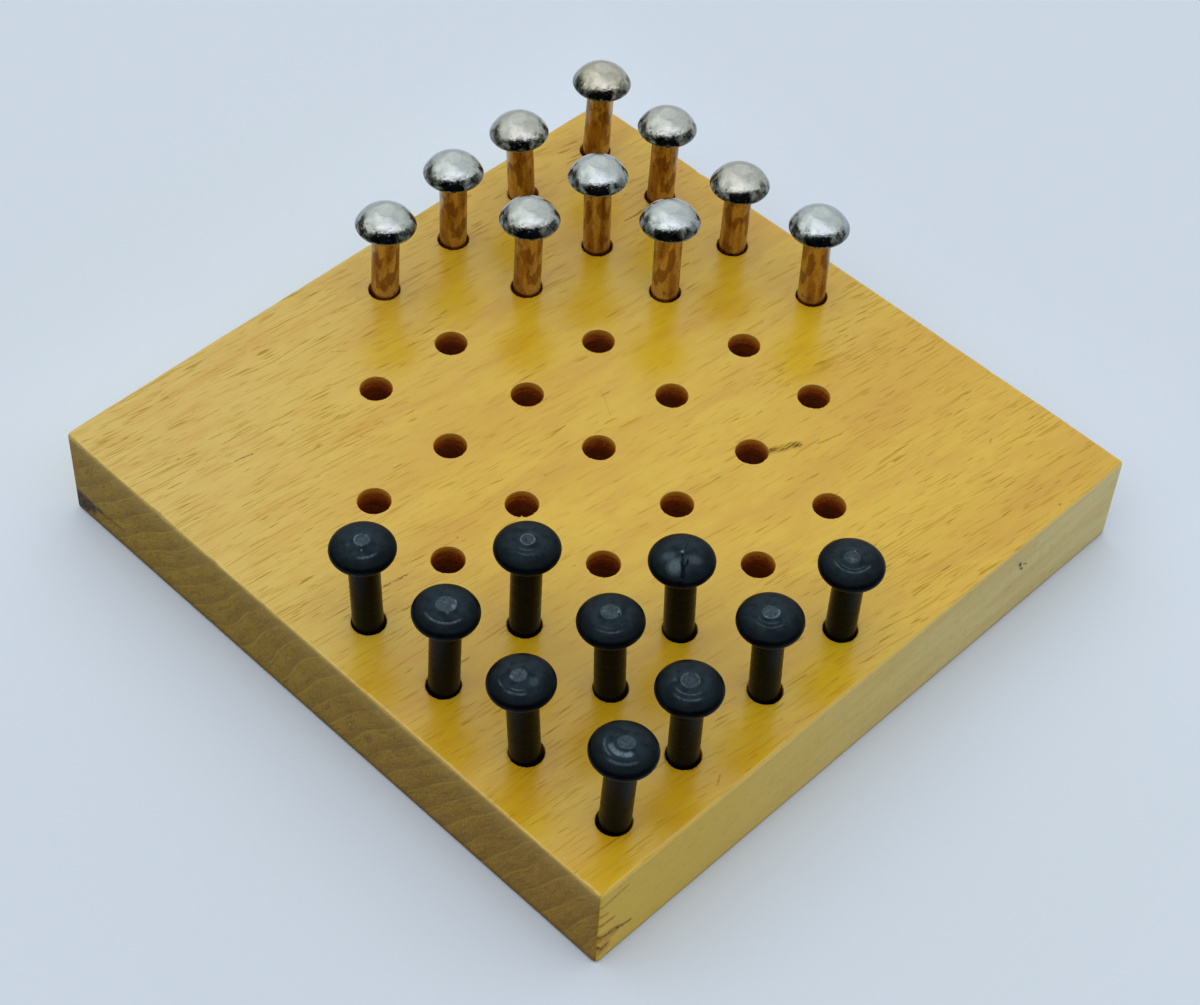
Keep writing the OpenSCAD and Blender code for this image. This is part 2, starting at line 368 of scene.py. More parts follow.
    # open pores and marks have no varnish on them
    bare = m.math("MULTIPLY", m.math("MAXIMUM", lines, short) if part == "top" else lines, 1.35, clamp=True)
    for plane, a0, b0, a1, b1, wide, strong, ink in MARKS:
        if (plane == "e") != (part == "end"):
            continue
        if plane == "t":
            start, along, flat = (a0, b0, 0.0), (a1 - a0, b1 - b0, 0.0), (1.0, 1.0, 0.0)
        elif plane == "l":
            start, along, flat = (a0, 0.0, b0), (a1 - a0, 0.0, b1 - b0), (1.0, 0.0, 1.0)
        else:
            start, along, flat = (0.0, a0, b0), (0.0, a1 - a0, b1 - b0), (0.0, 1.0, 1.0)
        rel = m.vmath("MULTIPLY", m.vmath("SUBTRACT", q, start), flat)
        size2 = sum(v * v for v in along)
        t = m.math("DIVIDE", m.vmath("DOT_PRODUCT", rel, along), size2, clamp=True)
        near = m.vmath("SCALE", m.add("ShaderNodeCombineXYZ", None, {0: along[0], 1: along[1], 2: along[2]}).outputs[0], scale=t)
        d = m.vmath("LENGTH", m.vmath("SUBTRACT", rel, near))
        if ink == "torn":
            f = m.math("MULTIPLY", m.remap(d, wide * 1.3, wide * 0.4), on[plane])
            c = m.mix(m.math("MULTIPLY", f, 0.65), c, rgb(0.470, 0.300, 0.050))
            torn = m.remap(m.noise(m.comb(m.math("MULTIPLY", x, 0.55), m.math("MULTIPLY", yw, 4.5), 0.0), 1.0, 2.0, 0.6), 0.46, 0.56)
            c = m.mix(m.math("MULTIPLY", m.math("MULTIPLY", f, strong), torn), c, rgb(0.120, 0.062, 0.008))
            bare = m.math("MAXIMUM", bare, f)
            continue
        f = m.math("MULTIPLY", m.math("MULTIPLY", m.remap(d, wide, wide * 0.35, 0.0, strong), on[plane]), break_up)
        c = m.mix(f, c, rgb(*INKS[ink]))
        bare = m.math("MAXIMUM", bare, f)
        if ink in ("brown", "black") and plane == "t":
            dent = f if dent is None else m.math("MAXIMUM", dent, f)

    rough = m.math("ADD", m.math("MULTIPLY", m.remap(streak, 0.3, 0.7), 0.07), 0.205 if part == "top" else 0.5)
    h = m.math("ADD", m.math("MULTIPLY", fibre, 0.45), m.math("MULTIPLY", lines, -0.9))
    if part == "end":
        h = m.sum((h, 0.2), (m.remap(pores, 0.24, 0.10), -1.4), (fine, 0.9), (s1, -0.8))
    if dent is not None:
        h = m.math("ADD", h, m.math("MULTIPLY", dent, -1.6))
    nor = m.bump(h, 0.35 if part == "top" else 0.6, 0.00004)
    return c, rough, nor, bare


def top_material():
    m = Mat(bpy.data.materials.new("varnished_hardwood"))
    c, r, n, bare = wood_colour(m, "top")
    shine = m.remap(bare, 0.0, 1.0, 0.5, 0.05, kind="LINEAR")
    m.surface({"Base Color": c, "Roughness": r, "Normal": n, "IOR": 1.75, "Specular IOR Level": shine})
    return m.owner


def side_material():
    """The long-grain sides get little gloss from the shader: their sheen is painted into their colour."""
    m = Mat(bpy.data.materials.new("thinly_varnished_side"))
    c, r, n, bare = wood_colour(m, "top")
    m.surface({"Base Color": c, "Roughness": 0.36, "Normal": n, "IOR": 1.15})
    return m.owner


def end_material():
    m = Mat(bpy.data.materials.new("oiled_end_grain"))
    c, r, n, bare = wood_colour(m, "end")
    m.surface({"Base Color": c, "Roughness": r, "Normal": n, "Specular IOR Level": 0.14})
    return m.owner


def bore_material():
    """Bare red-brown wood inside the holes, with painted light and shade: bright orange near the mouth, near black deep
    down.
    """
    m = Mat(bpy.data.materials.new("drilled_wood"))
    p = m.vmath("SCALE", m.add("ShaderNodeTexCoord").outputs["Object"], scale=1000.0)
    x, y, z = m.sep(p)
    streak = m.noise(m.comb(m.math("MULTIPLY", x, 0.8), m.math("MULTIPLY", y, 2.6), m.math("MULTIPLY", z, 2.2)), 1.0, 3.0, 0.6)
    ringy = m.noise(m.comb(m.math("MULTIPLY", x, 0.3), m.math("MULTIPLY", y, 0.3), m.math("MULTIPLY", z, 5.0)), 1.0, 2.0, 0.6)
    deep = m.attr("hole")
    c = m.mix(m.remap(streak, 0.35, 0.68), rgb(0.560, 0.140, 0.010), rgb(0.340, 0.060, 0.004))
    c = m.mix(m.remap(ringy, 0.46, 0.60, 0.0, 0.60), c, rgb(0.120, 0.020, 0.002))
    # painted shade: darker deep in the hole
    c = m.mix(m.remap(deep, 0.45, 0.95, 0.0, 0.66), c, rgb(0.085, 0.013, 0.0015))
    # painted light: bright orange near the mouth
    c = m.mix(m.remap(deep, 0.46, 0.05), c, rgb(0.700, 0.340, 0.025))
    nor = m.bump(m.math("ADD", streak, ringy), 0.8, 0.00012)
    m.surface({"Base Color": c, "Roughness": 0.60, "Normal": nor, "Specular IOR Level": 0.25})
    return m.owner


# ---------------------------------------------------------------- pegs
def silver_material():
    m = Mat(bpy.data.materials.new("plated_silver"))
    loc = m.attr("local", "Vector")
    x, y, z = m.sep(loc)
    rad = m.vmath("LENGTH", m.comb(x, y, 0.0))
    head = m.remap(z, 20.85, 21.02)
    # on the head: hair scratches one way, pits and soft facets
    scr = m.noise(m.comb(m.math("MULTIPLY", x, 0.6), m.math("MULTIPLY", y, 4.6), m.math("MULTIPLY", z, 3.0)), 1.2, 3.0, 0.65)
    scr2 = m.noise(m.comb(m.math("MULTIPLY", x, 5.0), m.math("MULTIPLY", y, 0.8), m.math("MULTIPLY", z, 2.0)), 1.1, 2.0, 0.6)
    fine = m.noise(loc, 3.4, 3.0, 0.62)
    soft = m.noise(loc, 0.85, 2.0, 0.5)
    pits = m.voronoi(loc, 1.9)
    # some heads have yellowed more than others
    tint = m.attr("shine")
    c = m.mix(m.remap(soft, 0.36, 0.64), m.mix(tint, rgb(0.500, 0.530, 0.520), rgb(0.490, 0.460, 0.375)),
              m.mix(tint, rgb(0.440, 0.470, 0.485), rgb(0.410, 0.385, 0.325)))
    # painted reflection: the small flat on top painted lighter
    c = m.mix(m.remap(rad, 1.30, 1.05, 0.0, 0.30), c, rgb(0.55, 0.57, 0.56))
    # painted dark reflection: darker towards the rim, in patches
    c = m.mix(m.remap(z, 22.7, 21.5, 0.0, 0.62), c, rgb(0.150, 0.165, 0.150))
    c = m.mix(m.math("MULTIPLY", m.remap(m.noise(loc, 1.15, 2.5, 0.6), 0.53, 0.60), m.remap(z, 23.5, 22.4, 0.0, 0.85)), c, rgb(0.050, 0.055, 0.035))
    c = m.mix(m.remap(pits, 0.16, 0.05, 0.0, 0.55), c, rgb(0.20, 0.19, 0.16))
    # the shank: the plating is thin and copper shows through; its blotches are partly tarnish and partly painted
    # reflection: dark ones of the holes and shade in front, pale ones painted highlights
    blot = m.noise(m.comb(m.math("MULTIPLY", x, 0.75), m.math("MULTIPLY", y, 0.75), m.math("MULTIPLY", z, 0.17)), 0.9, 1.5, 0.5)
    spot = m.noise(m.comb(m.math("MULTIPLY", x, 0.75), m.math("MULTIPLY", y, 0.75), m.math("MULTIPLY", z, 0.30)), 0.70, 2.5, 0.55)
    sc = m.mix(m.remap(blot, 0.40, 0.60), rgb(0.52, 0.350, 0.150), rgb(0.33, 0.180, 0.060))
    sc = m.mix(m.remap(spot, 0.50, 0.60, 0.0, 0.72), sc, rgb(0.160, 0.060, 0.014))
    sc = m.mix(m.remap(spot, 0.42, 0.28, 0.0, 0.55), sc, rgb(0.66, 0.48, 0.28))
    c = m.mix(head, sc, c)
    r = m.math("ADD", m.remap(fine, 0.46, 0.66, 0.0, 0.12), m.lerp(head, 0.27, 0.035))
    h = m.sum((scr, 0.85), (scr2, 0.25), (fine, 0.80), (soft, 0.9), (m.remap(pits, 0.16, 0.04), -0.7))
    hs = m.sum((fine, 0.4), (spot, 1.2))
    nor = m.bump(m.lerp(head, hs, h), 0.9, 0.000021)
    m.surface({"Base Color": c, "Metallic": 1.0, "Roughness": r, "Normal": nor})
    return m.owner


def black_material():
    m = Mat(bpy.data.materials.new("satin_black"))
    loc = m.attr("local", "Vector")
    shine = m.attr("shine")
    x, y, z = m.sep(loc)
    rad = m.vmath("LENGTH", m.comb(x, y, 0.0))
    rings = m.noise(m.comb(m.math("MULTIPLY", rad, 2.6), m.math("MULTIPLY", z, 0.6), 0.0), 1.6, 3.0, 0.6)
    fine = m.noise(loc, 4.0, 3.0, 0.62)
    soft = m.noise(loc, 0.8, 2.0, 0.5)
    scr = m.noise(m.comb(m.math("MULTIPLY", x, 0.8), m.math("MULTIPLY", y, 5.0), m.math("MULTIPLY", z, 3.0)), 1.2, 2.0, 0.6)
    head = m.remap(z, 20.8, 21.2)
    # worn carries wear and painted highlights: the discs, arcs and spots of the heads are painted lighter
    worn = m.math("MULTIPLY", shine, m.remap(fine, 0.30, 0.62, 0.55, 1.15))
    # handled tops are smoother than the sides; they are also painted greyer, a painted sheen of the light from above
    top = m.math("MULTIPLY", head, m.remap(rad, 4.2, 2.1))
    c = m.mix(m.remap(soft, 0.35, 0.65), rgb(0.0006, 0.0010, 0.0016), rgb(0.0014, 0.0024, 0.0036))
    c = m.mix(m.math("MULTIPLY", top, m.remap(soft, 0.36, 0.62, 0.45, 1.0)), c, rgb(0.0155, 0.0250, 0.0330))
    # painted highlight and wear: lighter where worn is high
    c = m.mix(worn, c, rgb(0.140, 0.190, 0.220))
    c = m.mix(head, rgb(0.0005, 0.0004, 0.0002), c)
    r = m.lerp(top, m.lerp(head, 0.28, 0.34), 0.34)
    r = m.math("ADD", r, m.remap(rings, 0.3, 0.7, -0.04, 0.05))
    r = m.math("SUBTRACT", r, m.math("MULTIPLY", shine, 0.07))
    h = m.sum((rings, 0.9), (fine, 0.5), (soft, 1.5), (scr, 0.35))
    nor = m.bump(h, 0.55, 0.00005)
    m.surface({"Base Color": c, "Roughness": r, "Normal": nor, "IOR": 1.18, "Specular Tint": rgb(0.62, 0.86, 1.0)})
    return m.owner


def spline(points, n):
    """Catmull-Rom through points, n steps per span."""
    out = []
    for i in range(len(points) - 1):
        p0 = Vector(points[max(i - 1, 0)]); p1 = Vector(points[i])
        p2 = Vector(points[i + 1]); p3 = Vector(points[min(i + 2, len(points) - 1)])
        for k in range(n):
            t = k / n
            q = 0.5 * ((2 * p1) + (p2 - p0) * t + (2 * p0 - 5 * p1 + 4 * p2 - p3) * t * t + (3 * p1 - p0 - 3 * p2 + p3) * t ** 3)
            out.append((max(q.x, 0.0), q.y))
    out.append(tuple(points[-1]))
    return out


def arc(r0, z0, rr, rz, a0, a1, n):
    return [(r0 + rr * math.cos(math.radians(a0 + (a1 - a0) * k / n)),
             z0 + rz * math.sin(math.radians(a0 + (a1 - a0) * k / n))) for k in range(n + 1)]


def shank(d):
    s, e, z = d["s"], d["end"], d["len"]
    pts = [(0.0, 0.0), (s * 0.5, 0.0), (s - e, 0.0), (s - e * 0.35, 0.10), (s - 0.03, 0.36), (s, 0.55)]
    pts += [(s, z * k / 16) for k in range(1, 16)]
    pts += [(s, z - 0.22), (s + 0.03, z - 0.08), (s + 0.12, z - 0.005), (s + 0.35, z)]
    return pts


def silver_profile(rng):
    d = SILVER
    r, z = d["r"], d["len"]
    pts = shank(d)
    pts += [(r * 0.75, z), (r - 0.25, z)]
    pts += arc(r - 0.25, z + 0.25, 0.25, 0.25, -80, 8, 7)
    # nearly a ball above a thin rim, with a small flat on top
    ball = (r * r + 9.0) / 6.0
    mid = z + 0.25 + 3.0 - ball
    flat = 1.24 + rng.uniform(-0.10, 0.10)
    dome = [p for p in arc(0, mid, ball, ball, 24.5, 84, 40) if p[0] > flat + 0.14]
    pts += dome
    top = mid + math.sqrt(ball * ball - 1.30 ** 2)
    edge = dome[-1]
    pts += [(flat + 0.06, min(edge[1] + 0.014, top - 0.022)), (flat - 0.02, top - 0.014), (flat - 0.12, top - 0.004),
            (flat * 0.75, top), (flat * 0.5, top - 0.004), (flat * 0.25, top - 0.006), (0.0, top - 0.008)]
    return pts


def black_profile(rng, plain):
    d = BLACK
    r, z = d["r"], d["len"]
    pts = shank(d)
    pts += [(r - 1.5, z)]
    pts += arc(r - 1.5, z + 1.2, 1.5, 1.2, -80, 0, 9)
    if plain:
        pts += arc(0, z + 1.2, r, 1.72, 5, 62, 44)
        pts += spline([(r * 0.45, z + 2.735), (r * 0.30, z + 2.83), (r * 0.16, z + 2.875), (r * 0.10, z + 2.915), (r * 0.05, z + 2.935), (0.0, z + 2.94)], 7)
        return pts
    pts += arc(0, z + 1.2, r, 1.72, 5, 48, 26)
    j = lambda a: rng.uniform(-a, a)
    pts += spline([
        (r * 0.64, z + 2.530), (r * 0.60, z + 2.585), (r * 0.55, z + 2.640), (r * 0.50, z + 2.680), (r * 0.45, z + 2.705),
        (r * 0.40, z + 2.735), (r * 0.355, z + 2.780 + j(0.01)), (r * 0.32, z + 2.860), (r * 0.285, z + 2.930), (r * 0.24, z + 2.955),
        (r * 0.18, z + 2.960), (r * 0.12, z + 2.950 + j(0.01)), (r * 0.06, z + 2.935 + j(0.01)), (0.0, z + 2.930)], 4)
    return pts


def peg_axis(node, axis):
    """Foot and axis of a peg, measured on its CAD node, in mm."""
    ob = frame["nodes"][node]
    a = Vector(axis).normalized()
    u = (Vector((1, 0, 0)) - a * a.x).normalized()
    v = a.cross(u)
    vs = [ob.matrix_world @ w.co for w in ob.data.vertices]
    pu = [w.dot(u) / MM for w in vs]
    pv = [w.dot(v) / MM for w in vs]
    pa = [w.dot(a) / MM for w in vs]
    # least-squares circle through the widest ring
    cu, cv = (max(pu) + min(pu)) / 2, (max(pv) + min(pv)) / 2
    wide = max(math.hypot(p - cu, q - cv) for p, q in zip(pu, pv))
    rim = [(p, q) for p, q in zip(pu, pv) if math.hypot(p - cu, q - cv) > 0.97 * wide]
    sx = sum(p for p, q in rim) / len(rim); sy = sum(q for p, q in rim) / len(rim)
    suu = sum((p - sx) ** 2 for p, q in rim); svv = sum((q - sy) ** 2 for p, q in rim)
    suv = sum((p - sx) * (q - sy) for p, q in rim)
    su3 = sum((p - sx) ** 3 + (p - sx) * (q - sy) ** 2 for p, q in rim) / 2
    sv3 = sum((q - sy) ** 3 + (q - sy) * (p - sx) ** 2 for p, q in rim) / 2
    det = suu * svv - suv * suv
    cu = sx + (su3 * svv - sv3 * suv) / det
    cv = sy + (sv3 * suu - su3 * suv) / det
    return (u * cu + v * cv + a * min(pa)), u, v, a


def lathe(name, profile, segs, foot, u, v, a, seed, dents, shape=None):
    """Turns a profile, then works the head over: dents go inwards only.

    shape(f, s, r, z) gets a point of the head, f mm towards the front and s mm
    to the right of the axis, and gives a shift along the axis and a shine value: wear with painted highlights on a
    black head, the tint on a silver one."""
    rng = random.Random(seed)
    turn = rng.uniform(0, 2 * math.pi)
    bm = bmesh.new()
    lay = bm.verts.layers.float_vector.new("local")
    gloss = bm.verts.layers.float.new("shine")
    ff = (FRONT - a * FRONT.dot(a)).normalized()
    ss = a.cross(ff)
    if ss.dot(SIDE) < 0:
        ss = -ss
    head_z = profile_head(profile)

    def vert(r, z, k):
        t = 2 * math.pi * k / segs
        lx, ly = r * math.cos(t), r * math.sin(t)
        on_head = smooth(head_z + 0.4, head_z + 1.4, z)
        w = abs(n3(lx * 0.5, ly * 0.5, z * 0.3, seed)) * 0.012
        rr = max(r - w * (1.0 if r > 0.3 else r / 0.3), 0.0)
        lx, ly = rr * math.cos(t), rr * math.sin(t)
        dz = sh = 0.0
        if on_head > 0:
            d1 = 0.5 + 0.5 * n3(lx * 0.62, ly * 0.62, z * 0.4, seed + 40)
            d2 = 0.5 + 0.5 * n3(lx * 1.5, ly * 1.5, z * 0.8, seed + 80)
            dz -= on_head * (dents * d1 + dents * 0.35 * d2)
            if shape:
                at = u * lx + v * ly
                ddz, sh = shape(at.dot(ff), at.dot(ss), rr, z - head_z)
                dz += on_head * ddz
        co = foot + u * lx + v * ly + a * (z + dz)
        b = bm.verts.new(co * MM)
        # turned by an angle of its own, so that no two pegs are marked alike
        b[gloss] = sh
        b[lay] = Vector((lx * math.cos(turn) - ly * math.sin(turn) + 0.0, lx * math.sin(turn) + ly * math.cos(turn), z))
        return b

    rows = []
    for r, z in profile:
        rows.append([vert(0.0, z, 0)] if r <= 1e-6 else [vert(r, z, k) for k in range(segs)])
    for lo, hi in zip(rows[:-1], rows[1:]):
        for k in range(segs):
            k2 = (k + 1) % segs
            if len(lo) == 1:
                bm.faces.new((lo[0], hi[k2], hi[k]))
            elif len(hi) == 1:
                bm.faces.new((lo[k], lo[k2], hi[0]))
            else:
                bm.faces.new((lo[k], lo[k2], hi[k2], hi[k]))
    for f in bm.faces:
        f.smooth = True
    bm.normal_update()
    me = bpy.data.meshes.new(name)
    bm.to_mesh(me)
    bm.free()
    ob = bpy.data.objects.new(name, me)
    scene.collection.objects.link(ob)
    return ob


def profile_head(profile):
    """Height of the head's underside: the last long run of constant radius ends there."""
    return max(z for r, z in profile if r < 2.2 and z < 21.2)


def segment(f, s, f0, s0, f1, s1):
    """Distance of a point from a short line, and how far along it lies."""
    df, ds = f1 - f0, s1 - s0
    t = min(max(((f - f0) * df + (s - s0) * ds) / (df * df + ds * ds), 0.0), 1.0)
    return math.hypot(f - f0 - df * t, s - s0 - ds * t), t


def split_head(f, s, r, z):
    """The head that is split: a forked crack from the middle to the front, and flats hammered beside it."""
    dz = 0.0
    path = [(0.35, 0.00), (1.15, 0.08), (1.75, -0.04), (2.35, 0.20), (3.45, 0.16)]
    for (f0, s0), (f1, s1) in zip(path[:-1], path[1:]):
        d, t = segment(f, s, f0, s0, f1, s1)
        wide = 0.15 + 0.15 * smooth(1.2, 2.8, f)
        dz = min(dz, -(0.22 + 0.40 * smooth(0.6, 2.2, f)) * smooth(wide, 0.04, d))
    for (f0, s0), (f1, s1) in (((1.10, 0.72), (1.75, 0.66)), ((1.75, 0.66), (2.25, 0.28))):
        d, t = segment(f, s, f0, s0, f1, s1)
        dz = min(dz, -0.34 * smooth(0.15, 0.03, d))
    d, t = segment(f, s, -2.2, 0.80, -0.6, 0.35)
    dz = min(dz, -0.09 * smooth(0.09, 0.02, d))
    # the left half bulges towards the front, the right half has sunk there
    right = smooth(0.10, 0.60, s) * smooth(2.0, 2.7, f + 0.25 * s) * smooth(4.3, 3.6, r)
    dz -= 0.22 * right
    dz -= 0.07 * smooth(1.3, 0.3, math.hypot(f - 0.4, s + 2.0))
    dz -= 0.06 * smooth(1.2, 0.3, math.hypot(f - 0.4, s - 1.9))
    # sh: wear and painted highlights; the flats and the middle are painted lighter
    sh = 0.50 * smooth(1.5, 0.4, math.hypot((f - 2.1) * 0.9, s + 0.85)) * smooth(0.05, -0.35, s)
    sh = max(sh, 0.26 * smooth(1.3, 0.3, math.hypot((f - 0.55) * 1.2, s + 1.7)))
    sh = max(sh, 0.24 * smooth(1.6, 0.4, math.hypot((f - 1.0) * 1.5, s - 1.5)) * (1 - right))
    sh = max(sh, 0.8 * smooth(0.30, 0.12, math.hypot(f + 0.1, s)))
    if dz < -0.10 and right < 0.5:
        sh *= smooth(-0.20, -0.10, dz)
    return dz, sh


# What the turning, the parting off and use left on each of the other black
# heads, with painted highlights. disc: middle (towards the front, to the right), radius, tilts, wear and painted
# highlight.
# arcs: radius, half width, from and to angle (0 at the front, + to the right),
# wear and painted highlight, height. spots: middle, radius, wear and painted highlight, height.
TOPS = {
    1: {"disc": (-0.10, 0.22, 1.15, 0.10, -0.05, 0.34),
        "arcs": [(1.72, 0.46, -82, 38, 1.25, -0.03), (2.45, 0.22, -110, -36, 0.42, 0.0), (2.95, 0.26, -40, 34, 0.40, 0.02)], "spots": []},
    2: {"disc": (0.10, -0.28, 1.05, 0.05, 0.08, 0.42),
        "arcs": [(2.10, 0.10, -30, 8, -0.3, -0.06), (2.30, 0.09, -34, 12, 0.62, 0.03), (2.85, 0.20, -40, 18, 0.46, 0.04), (2.75, 0.15, -80, -48, 0.30, 0.0)],
        "spots": [(0.9, 1.6, 0.9, 0.20, 0.0), (0.35, -1.15, 0.35, 0.5, 0.0)]},
    3: {"disc": (-0.05, 0.0, 1.15, -0.03, 0.03, 0.26),
        "arcs": [(1.15, 0.13, -170, -20, 0.52, 0.04), (1.15, 0.13, 60, 150, 0.50, 0.04), (2.05, 0.16, -62, 42, 0.42, 0.03), (2.30, 0.08, -48, 48, -0.3, -0.06), (2.80, 0.20, -44, 36, 0.42, 0.04)],
        "spots": [(-0.2, -1.9, 0.45, 0.24, 0.0)]},
    4: {"disc": (0.0, -0.05, 1.30, 0.06, 0.06, 0.42),
        "arcs": [(1.25, 0.20, 30, 130, 0.62, 0.0), (2.20, 0.10, -60, 50, -0.2, -0.05), (2.85, 0.20, -62, 46, 0.58, 0.05)],
        "spots": [(0.3, 0.95, 0.40, 0.45, 0.0), (1.35, 0.30, 0.30, 0.4, 0.0)]},
    5: {"disc": (-0.15, -0.15, 1.20, 0.02, -0.04, 0.40),
        "arcs": [(1.20, 0.12, 70, 150, 0.60, 0.03), (2.10, 0.10, -58, 56, -0.25, -0.06), (2.35, 0.10, -40, 20, 0.25, 0.02), (2.90, 0.17, -36, 30, 0.34, 0.04)],
        "spots": [(-0.25, 0.95, 0.26, 0.85, 0.03), (0.15, 1.05, 0.22, -0.5, -0.10), (-0.2, -1.0, 0.35, 0.35, 0.0)]},
    6: {"disc": (-0.05, -0.05, 1.10, 0.05, 0.04, 0.40),
        "arcs": [(1.05, 0.15, -60, 118, 0.85, 0.02), (2.05, 0.12, -70, 64, -0.3, -0.07), (2.35, 0.12, -50, 44, 0.34, 0.04), (1.7, 0.20, -70, 40, 0.22, 0.0)],
        "spots": [(0.35, 0.55, 0.16, -0.6, -0.09)]},
    7: {"disc": (-0.15, 0.0, 1.05, 0.03, -0.05, 0.40),
        "arcs": [(0.95, 0.15, -150, 20, 0.62, 0.03), (2.70, 0.22, -8, 48, 0.62, 0.05), (2.1, 0.10, -40, 60, -0.2, -0.05)],
        "spots": [(1.45, -2.1, 0.34, -0.6, -0.12), (1.60, 0.12, 0.22, 0.70, 0.03), (2.15, -0.1, 0.16, -0.5, -0.09), (0.6, -1.7, 0.5, 0.12, -0.04)]},
    8: {"disc": (-0.10, 0.0, 0.95, -0.04, 0.0, 0.30),
        "arcs": [(0.88, 0.16, -180, 180, 0.48, 0.02), (1.62, 0.14, -44, 40, 0.30, 0.02), (2.05, 0.09, -62, 60, -0.3, -0.06), (2.35, 0.12, -30, 26, 0.28, 0.04)],
        "spots": [(0.45, 0.55, 0.28, 0.5, 0.02), (0.15, -0.2, 0.22, -0.5, -0.07)]},
    10: {"disc": (0.05, -0.15, 1.10, 0.04, 0.05, 0.30),
         "arcs": [(1.95, 0.10, -50, 50, 0.34, 0.02), (2.18, 0.09, -80, 74, -0.35, -0.09), (2.45, 0.17, -76, 66, 0.42, 0.05)],
         "spots": [(-0.95, 0.25, 0.16, 1.0, 0.04), (0.45, -0.05, 0.42, 0.35, 0.0)]},
}


def worked_head(k):
    """Relief of one black head, and its wear with painted highlights."""
    df0, ds0, rad, tf, ts, dsh = TOPS[k]["disc"]

    def shape(f, s, r, z):
        on = smooth(rad + 0.12, rad - 0.10, math.hypot(f - df0, s - ds0))
        dz = on * (tf * (f - df0) + ts * (s - ds0) - abs(tf) * 0.5 - abs(ts) * 0.5)
        dz -= 0.030 * smooth(0.45, 0.1, math.hypot(f - df0, s - ds0))
        sh = 0.78 * dsh * on
        an = math.degrees(math.atan2(s, f))
        for ar, hw, a0, a1, w, h in TOPS[k]["arcs"]:
            # the arcs' ends taper off
            g = smooth(hw, 0.25 * hw, abs(r - ar)) * smooth(a0 - 8, a0 + 14, an) * smooth(a1 + 8, a1 - 14, an) if a1 - a0 < 359 else smooth(hw, 0.25 * hw, abs(r - ar))
            g *= 0.80 + 0.5 * n3(f * 1.7, s * 1.7, 0.0, k)
            sh += w * g
            dz += h * g
        for f0, s0, q, w, h in TOPS[k]["spots"]:
            g = smooth(q, 0.3 * q, math.hypot(f - f0, s - s0))
            sh += w * g
            dz += h * g
        return dz, min(max(sh * (0.9 + 0.5 * n3(f * 2.3, s * 2.3, 0.0, k + 50)), 0.0), 1.3)
    return shape


# How far each silver head has yellowed.
YELLOWED = [1.0, 0.60, 0.45, 0.15, 0.0, 0.65, 0.20, 0.25, 0.0, 0.0]


def plain_head(tint):
    return lambda f, s, r, z: (0.0, tint)


joints = {j["child"]: j for j in record["behaviour"]["joints"]}
silver_mat, black_mat = silver_material(), black_material()
for kind, mat, slot in (("silver", silver_mat, "silver_metal"), ("black", black_mat, "black_finish")):
    for k in range(1, 11):
        node = "%s_peg_%02d" % (kind, k)
        foot, u, v, a = peg_axis(node, joints[node]["axis"])
        rng = random.Random(1000 * k + len(kind))
        if kind == "silver":
            ob = lathe("%s_turned" % node, silver_profile(rng), 144, foot, u, v, a, k, 0.034, plain_head(YELLOWED[k - 1]))
        elif k == 9:
            ob = lathe("%s_turned" % node, black_profile(rng, True), 240, foot, u, v, a, k + 20, 0.030, split_head)
        else:
            ob = lathe("%s_turned" % node, black_profile(rng, False), 160, foot, u, v, a, k + 20, 0.025, worked_head(k))
        ob.data.materials.append(mat)
        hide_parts(node)
        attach(ob, node)


# ---------------------------------------------------------------- board
def find_holes():
    """Centres and depths of the holes, measured on the CAD board, in mm."""
    ob = frame["nodes"]["board"]
    groups = []
    for w in ob.data.vertices:
        p = (ob.matrix_world @ w.co) / MM
        if 3.0 < p.z < TOP - 5.0 and abs(p.x) < 50 and abs(p.y) < 50:
            for g in groups:
                if math.hypot(g[0].x - p.x, g[0].y - p.y) < 6.0 and abs(g[0].z - p.z) < 0.2:
                    g.append(p)
                    break
            else:
                groups.append([p])
    out = []
    for g in groups:
        if len(g) < 8:
            continue
        x = (max(p.x for p in g) + min(p.x for p in g)) / 2
        y = (max(p.y for p in g) + min(p.y for p in g)) / 2
        out.append((x, y, TOP - min(p.z for p in g)))
    return out


def peg_cells():
    """Cells of the grid whose hole holds a peg."""
    cells = set()
    for kind in ("silver", "black"):
        for k in range(1, 11):
            lo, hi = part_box("%s_peg_%02d" % (kind, k))
            ob = frame["nodes"]["%s_peg_%02d" % (kind, k)]
            low = min((w.co for w in ob.data.vertices), key=lambda c: c.z) / MM
            cells.add((round(low.x / PITCH + 3), round(low.y / PITCH + 3)))
    return cells


